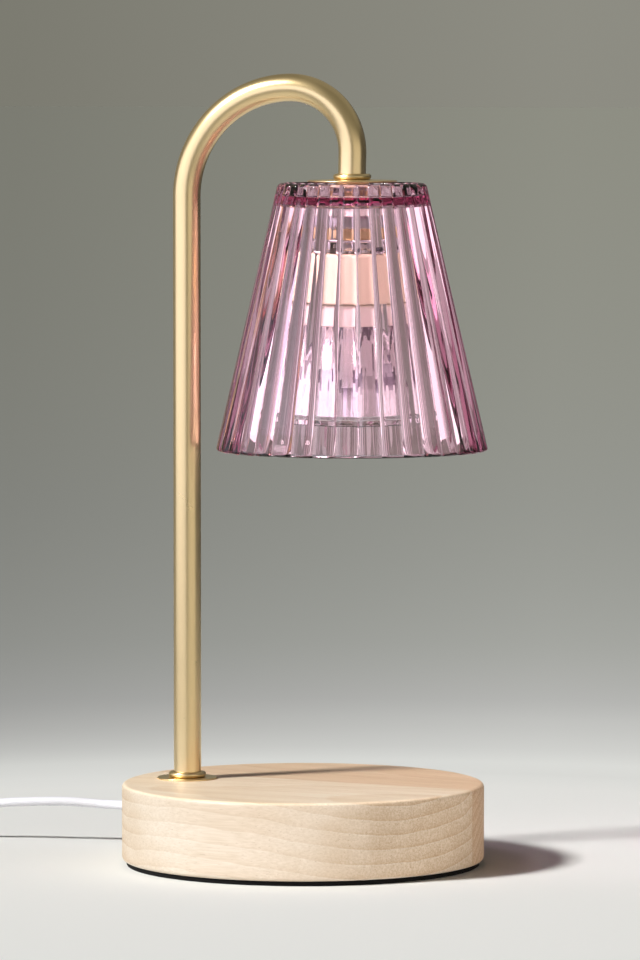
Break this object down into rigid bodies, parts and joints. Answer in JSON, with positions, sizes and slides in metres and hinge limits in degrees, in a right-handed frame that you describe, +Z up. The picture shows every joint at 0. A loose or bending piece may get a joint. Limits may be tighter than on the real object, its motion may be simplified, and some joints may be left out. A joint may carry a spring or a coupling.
{
  "type": "candle warmer lamp",
  "caption": "Candle warmer lamp: wooden disc base, bent brass stem, fluted pink glass shade over a twist-lock reflector bulb, and a corded rotary dimmer.",
  "frame": {"origin": "centre of the base pad's underside, on the table", "axes": "+Z up, +X from the stem's foot towards the shade, +Y to the back left of the stem's plane"},
  "size_m": [0.4096, 0.1524, 0.3322],
  "materials": {
    "wood": "satin clear lacquer on pale rubberwood",
    "pad": "matt black",
    "brass": "brushed and lacquered",
    "steel": "zinc plated",
    "pink_glass": "clear pressed glass, tinted pink",
    "clear_glass": "clear",
    "reflector": "glass silvered inside",
    "ceramic": "unglazed, matt",
    "tungsten": "drawn wire",
    "silicone": "matt, translucent white",
    "nylon": "natural, moulded",
    "white_plastic": "fine moulded texture",
    "white_vinyl": "satin extruded sheath",
    "circuit_board": "solder mask"
  },
  "bodies": {
    "root": {"base_disc": "wood", "base_pad": "pad", "cord_outlet": "white_plastic", "foot_flange": "brass", "foot_collar": "brass", "foot_nipple": "brass", "foot_washer": "steel", "foot_nut": "steel", "stem_tube": "brass", "inner_lead": "white_vinyl", "head_collar": "brass", "cap_disc": "brass", "cap_sleeve": "brass", "head_nipple": "brass", "upper_gasket": "silicone", "lower_gasket": "silicone", "shade_washer": "steel", "shade_spacer": "nylon", "shade_nut": "steel", "lock_nut": "brass", "bracket_nut": "steel", "glass_shade": "pink_glass", "holder_bracket": "steel", "lampholder": "ceramic", "bracket_screw_1": "steel", "bracket_screw_2": "steel", "contact_1": "brass", "contact_2": "brass", "wire_live": "silicone", "wire_neutral": "silicone", "dimmer_lower_shell": "white_plastic", "dimmer_upper_shell": "white_plastic", "dimmer_board": "circuit_board", "dimmer_potentiometer": "steel", "dimmer_screw_1": "steel", "dimmer_screw_2": "steel", "dimmer_grip_in": "white_plastic", "dimmer_grip_out": "white_plastic", "cord_lead": "white_vinyl", "cord_link": "white_vinyl", "cord_coil": "white_vinyl", "cord_tie": "white_vinyl", "cord_tail": "white_vinyl", "plug_body": "white_plastic", "plug_blade_narrow": "brass", "plug_blade_wide": "brass", "plug_relief": "white_plastic"},
    "bulb": {"bulb_neck": "ceramic", "bulb_reflector": "reflector", "bulb_front_glass": "clear_glass", "bulb_capsule": "clear_glass", "bulb_filament": "tungsten", "bulb_pin_1": "steel", "bulb_pin_2": "steel"},
    "dimmer_knob": {"dimmer_knob": "white_plastic"}
  },
  "joints": [
    {"name": "bulb_twist", "type": "hinge", "parent": "root", "child": "bulb", "pos_m": [0.0216, 0, 0.236], "axis": [0, 0, -1], "range_deg": [0, 25]},
    {"name": "dimmer_turn", "type": "hinge", "parent": "root", "child": "dimmer_knob", "pos_m": [-0.2596, 0.0385, 0.016], "axis": [0, 0, 1], "range_deg": [0, 270]}
  ]
}
